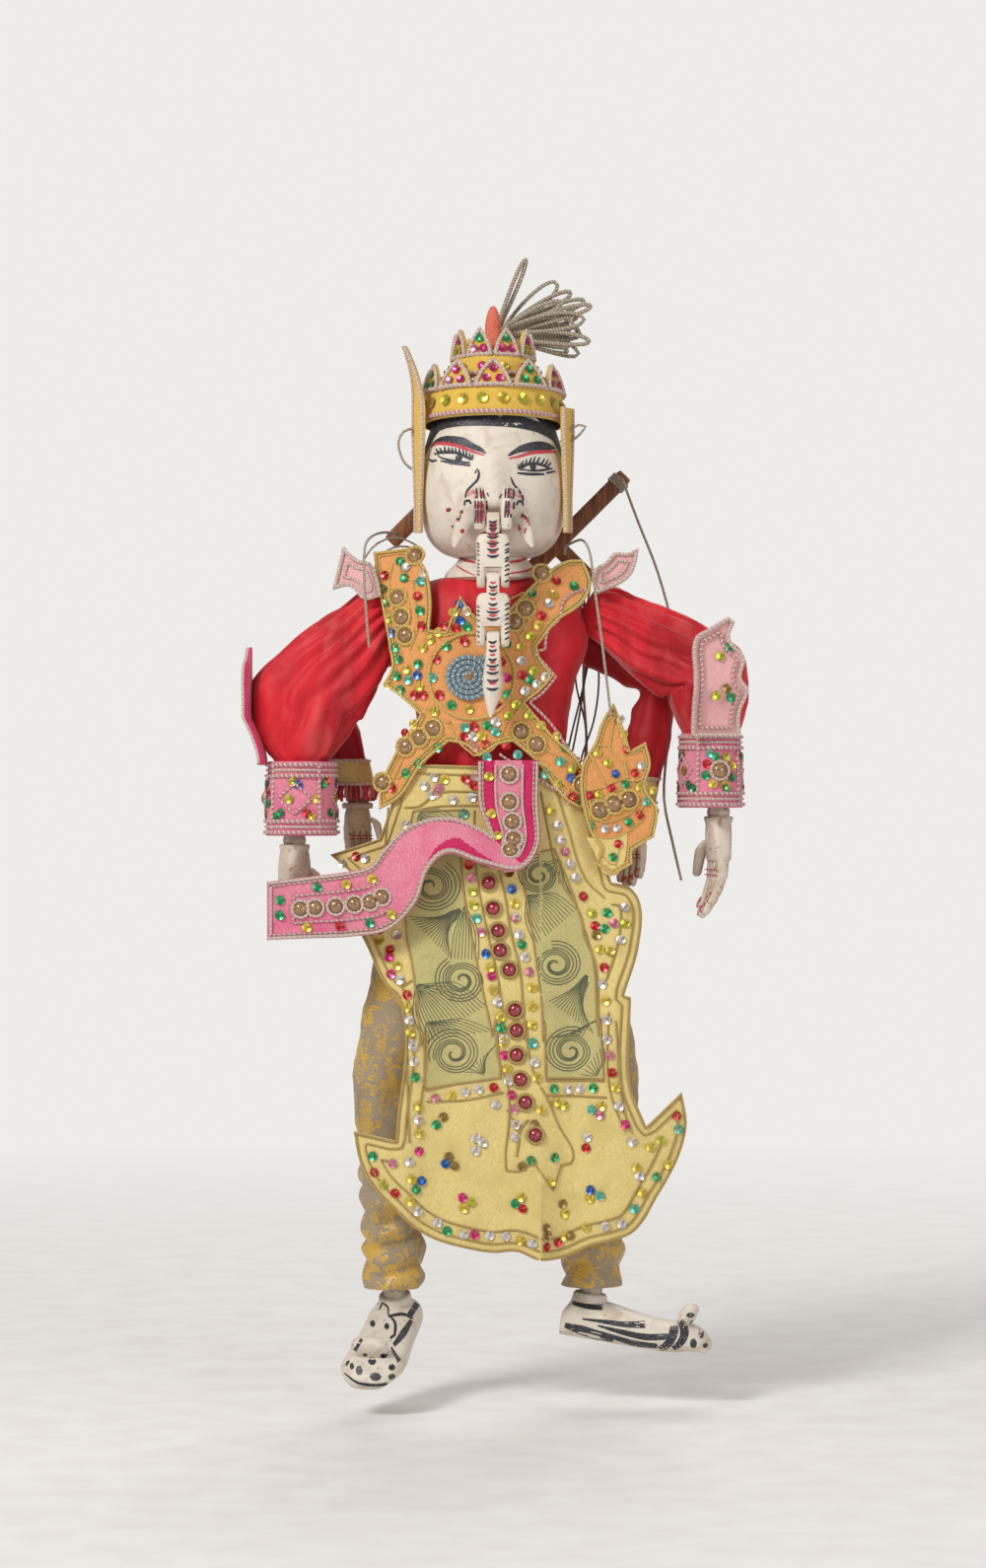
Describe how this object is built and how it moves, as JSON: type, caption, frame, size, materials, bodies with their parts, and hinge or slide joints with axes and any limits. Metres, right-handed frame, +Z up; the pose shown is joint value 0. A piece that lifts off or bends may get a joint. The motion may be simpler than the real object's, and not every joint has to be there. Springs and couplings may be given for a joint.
{
  "type": "four-armed marionette",
  "caption": "Carved and costumed string puppet with jointed trunk nose, inner and outer arms, swinging legs, felt breastplate and apron, hanging from a wooden control.",
  "frame": {"origin": "middle of the control's grip bar, where a hand or a hook holds the marionette", "axes": "+Z up, the figure faces -Y, +X is the viewer's right"},
  "size_m": [0.2987, 0.1441, 0.6581],
  "materials": {
    "white_paint": "carved wood under aged cream paint with small chips, semi-matt",
    "bare_wood": "plain carved wood, unpainted",
    "control_wood": "orange-brown stained wood, satin",
    "red_satin": "crinkled red satin",
    "orange_felt": "felt under gold cord, sequins and glass beads",
    "pink_felt": "felt under gold cord, sequins and glass beads",
    "yellow_felt": "felt with embroidered cord, sequins and beads",
    "crown_felt": "stiffened yellow felt with twisted cord and sequins",
    "coral_felt": "stiffened coral felt",
    "brocade": "gold floral brocade on taupe",
    "blue_cord": "twisted blue-grey cord",
    "cotton_cord": "twisted unbleached cotton cord"
  },
  "bodies": {
    "torso": {"chest_block": "bare_wood", "jacket": "red_satin", "collar": "orange_felt", "medallion_coil": "blue_cord", "shoulder_flap_left": "pink_felt", "shoulder_flap_right": "pink_felt", "control_grip": "control_wood", "control_bar_left": "control_wood", "control_bar_right": "control_wood", "string_shoulder": "cotton_cord", "string_hip": "cotton_cord", "string_back": "cotton_cord", "string_hand": "cotton_cord"},
    "pelvis": {"pelvis_block": "bare_wood", "apron": "yellow_felt", "sash": "pink_felt", "hip_ornament": "orange_felt"},
    "neck": {"neck_block": "white_paint"},
    "head": {"head_block": "white_paint", "ear_flap_left": "yellow_felt", "ear_flap_right": "yellow_felt", "string_tuft": "cotton_cord", "crown": "crown_felt", "crown_spire": "coral_felt"},
    "nose_upper": {"nose_link_1": "white_paint"},
    "nose_middle": {"nose_link_2": "white_paint"},
    "nose_lower": {"nose_tip": "white_paint"},
    "knot_left": {"shoulder_knot_left": "cotton_cord"},
    "knot_right": {"shoulder_knot_right": "cotton_cord"},
    "outer_upper_left": {"upper_arm_left": "bare_wood", "upper_sleeve_left": "red_satin"},
    "outer_upper_right": {"upper_arm_right": "bare_wood", "upper_sleeve_right": "red_satin"},
    "outer_fore_left": {"forearm_left": "bare_wood", "lower_sleeve_left": "red_satin", "cuff_left": "pink_felt"},
    "outer_fore_right": {"forearm_right": "bare_wood", "lower_sleeve_right": "red_satin", "cuff_right": "pink_felt"},
    "outer_hand_left": {"hand_left": "white_paint"},
    "outer_hand_right": {"hand_right": "white_paint"},
    "inner_upper_left": {"inner_upper_arm_left": "red_satin"},
    "inner_upper_right": {"inner_upper_arm_right": "red_satin"},
    "inner_fore_left": {"inner_forearm_left": "red_satin"},
    "inner_fore_right": {"inner_forearm_right": "red_satin"},
    "inner_palm_left": {"inner_hand_left": "white_paint"},
    "inner_palm_right": {"inner_hand_right": "white_paint"},
    "loop_left": {"hip_cord_left": "cotton_cord"},
    "loop_right": {"hip_cord_right": "cotton_cord"},
    "upper_leg_left": {"thigh_left": "bare_wood", "trouser_thigh_left": "brocade"},
    "upper_leg_right": {"thigh_right": "bare_wood", "trouser_thigh_right": "brocade"},
    "lower_leg_left": {"shin_left": "bare_wood", "trouser_shin_left": "brocade"},
    "lower_leg_right": {"shin_right": "bare_wood", "trouser_shin_right": "brocade"},
    "shoe_left": {"foot_left": "white_paint"},
    "shoe_right": {"foot_right": "white_paint"}
  },
  "joints": [
    {"name": "waist", "type": "hinge", "parent": "torso", "child": "pelvis", "pos_m": [-0.02113, -0.0755, -0.16187], "axis": [1, 0, 0], "range_deg": [-12, 12], "deforming": ["sash", "string_hip", "string_back"]},
    {"name": "neck_turn", "type": "hinge", "parent": "torso", "child": "neck", "pos_m": [-0.02113, -0.0755, -0.04387], "axis": [0, 0, 1], "range_deg": [-30, 30]},
    {"name": "head_nod", "type": "hinge", "parent": "neck", "child": "head", "pos_m": [-0.02113, -0.0755, -0.00987], "axis": [1, 0, 0], "range_deg": [-10, 5]},
    {"name": "nose_root", "type": "hinge", "parent": "head", "child": "nose_upper", "pos_m": [-0.02113, -0.1315, -0.01087], "axis": [-1, 0, 0], "range_deg": [-2, 70]},
    {"name": "nose_mid", "type": "hinge", "parent": "nose_upper", "child": "nose_middle", "pos_m": [-0.02113, -0.1315, -0.04537], "axis": [-1, 0, 0], "range_deg": [-2, 60]},
    {"name": "nose_end", "type": "hinge", "parent": "nose_middle", "child": "nose_lower", "pos_m": [-0.02113, -0.1315, -0.07987], "axis": [-1, 0, 0], "range_deg": [-2, 60]},
    {"name": "shoulder_raise_left", "type": "hinge", "parent": "torso", "child": "knot_left", "pos_m": [-0.09013, -0.0775, -0.06387], "axis": [0, 1, 0], "range_deg": [-5, 22]},
    {"name": "shoulder_swing_left", "type": "hinge", "parent": "knot_left", "child": "outer_upper_left", "pos_m": [-0.09013, -0.0775, -0.06387], "axis": [-1, 0, 0], "range_deg": [-2, 32], "deforming": ["string_shoulder"]},
    {"name": "elbow_left", "type": "hinge", "parent": "outer_upper_left", "child": "outer_fore_left", "pos_m": [-0.132, -0.0835, -0.11745], "axis": [-1, 0, 0], "range_deg": [0, 60]},
    {"name": "wrist_left", "type": "hinge", "parent": "outer_fore_left", "child": "outer_hand_left", "pos_m": [-0.13906, -0.0875, -0.19814], "axis": [-1, 0, 0], "range_deg": [-20, 20]},
    {"name": "shoulder_raise_right", "type": "hinge", "parent": "torso", "child": "knot_right", "pos_m": [0.04787, -0.0775, -0.06387], "axis": [0, -1, 0], "range_deg": [-5, 15]},
    {"name": "shoulder_swing_right", "type": "hinge", "parent": "knot_right", "child": "outer_upper_right", "pos_m": [0.04787, -0.0775, -0.06387], "axis": [-1, 0, 0], "range_deg": [-2, 34]},
    {"name": "elbow_right", "type": "hinge", "parent": "outer_upper_right", "child": "outer_fore_right", "pos_m": [0.1049, -0.0835, -0.1009], "axis": [-0.2079, 0.9781, 0], "range_deg": [-15, 12], "deforming": ["string_hand"]},
    {"name": "wrist_right", "type": "hinge", "parent": "outer_fore_right", "child": "outer_hand_right", "pos_m": [0.1128, -0.0875, -0.18152], "axis": [-0.2079, 0.9781, 0], "range_deg": [-20, 20]},
    {"name": "inner_shoulder_left", "type": "hinge", "parent": "torso", "child": "inner_upper_left", "pos_m": [-0.07313, -0.0465, -0.07787], "axis": [0, 1, 0], "range_deg": [-4, 20]},
    {"name": "inner_elbow_left", "type": "hinge", "parent": "inner_upper_left", "child": "inner_fore_left", "pos_m": [-0.12259, -0.0465, -0.09394], "axis": [0, 1, 0], "range_deg": [0, 40]},
    {"name": "inner_wrist_left", "type": "hinge", "parent": "inner_fore_left", "child": "inner_palm_left", "pos_m": [-0.10275, -0.0555, -0.1735], "axis": [1, 0, 0], "range_deg": [-20, 20]},
    {"name": "inner_shoulder_right", "type": "hinge", "parent": "torso", "child": "inner_upper_right", "pos_m": [0.03087, -0.0465, -0.07787], "axis": [0, -1, 0], "range_deg": [-4, 18]},
    {"name": "inner_elbow_right", "type": "hinge", "parent": "inner_upper_right", "child": "inner_fore_right", "pos_m": [0.0759, -0.0465, -0.10387], "axis": [0, -1, 0], "range_deg": [0, 18]},
    {"name": "inner_wrist_right", "type": "hinge", "parent": "inner_fore_right", "child": "inner_palm_right", "pos_m": [0.06307, -0.0555, -0.18486], "axis": [1, 0, 0], "range_deg": [-20, 20]},
    {"name": "hip_swing_left", "type": "hinge", "parent": "pelvis", "child": "loop_left", "pos_m": [-0.05513, -0.0755, -0.22187], "axis": [-1, 0, 0], "range_deg": [-10, 40], "deforming": ["apron"]},
    {"name": "hip_turn_left", "type": "hinge", "parent": "loop_left", "child": "upper_leg_left", "pos_m": [-0.05513, -0.0755, -0.22187], "axis": [0, 0, 1], "range_deg": [-15, 15]},
    {"name": "knee_left", "type": "hinge", "parent": "upper_leg_left", "child": "lower_leg_left", "pos_m": [-0.08235, -0.0755, -0.33977], "axis": [0.9703, -0.2419, 0], "range_deg": [0, 50]},
    {"name": "ankle_left", "type": "hinge", "parent": "lower_leg_left", "child": "shoe_left", "pos_m": [-0.08013, -0.0755, -0.46675], "axis": [0.9703, -0.2419, 0], "range_deg": [-20, 20]},
    {"name": "hip_swing_right", "type": "hinge", "parent": "pelvis", "child": "loop_right", "pos_m": [0.01287, -0.0755, -0.22187], "axis": [-1, 0, 0], "range_deg": [-10, 40]},
    {"name": "hip_turn_right", "type": "hinge", "parent": "loop_right", "child": "upper_leg_right", "pos_m": [0.01287, -0.0755, -0.22187], "axis": [0, 0, 1], "range_deg": [-15, 15]},
    {"name": "knee_right", "type": "hinge", "parent": "upper_leg_right", "child": "lower_leg_right", "pos_m": [0.04419, -0.0755, -0.33875], "axis": [0.1736, 0.9848, 0], "range_deg": [0, 30]},
    {"name": "ankle_right", "type": "hinge", "parent": "lower_leg_right", "child": "shoe_right", "pos_m": [0.03754, -0.0755, -0.46557], "axis": [0.1736, 0.9848, 0], "range_deg": [-20, 20]}
  ]
}
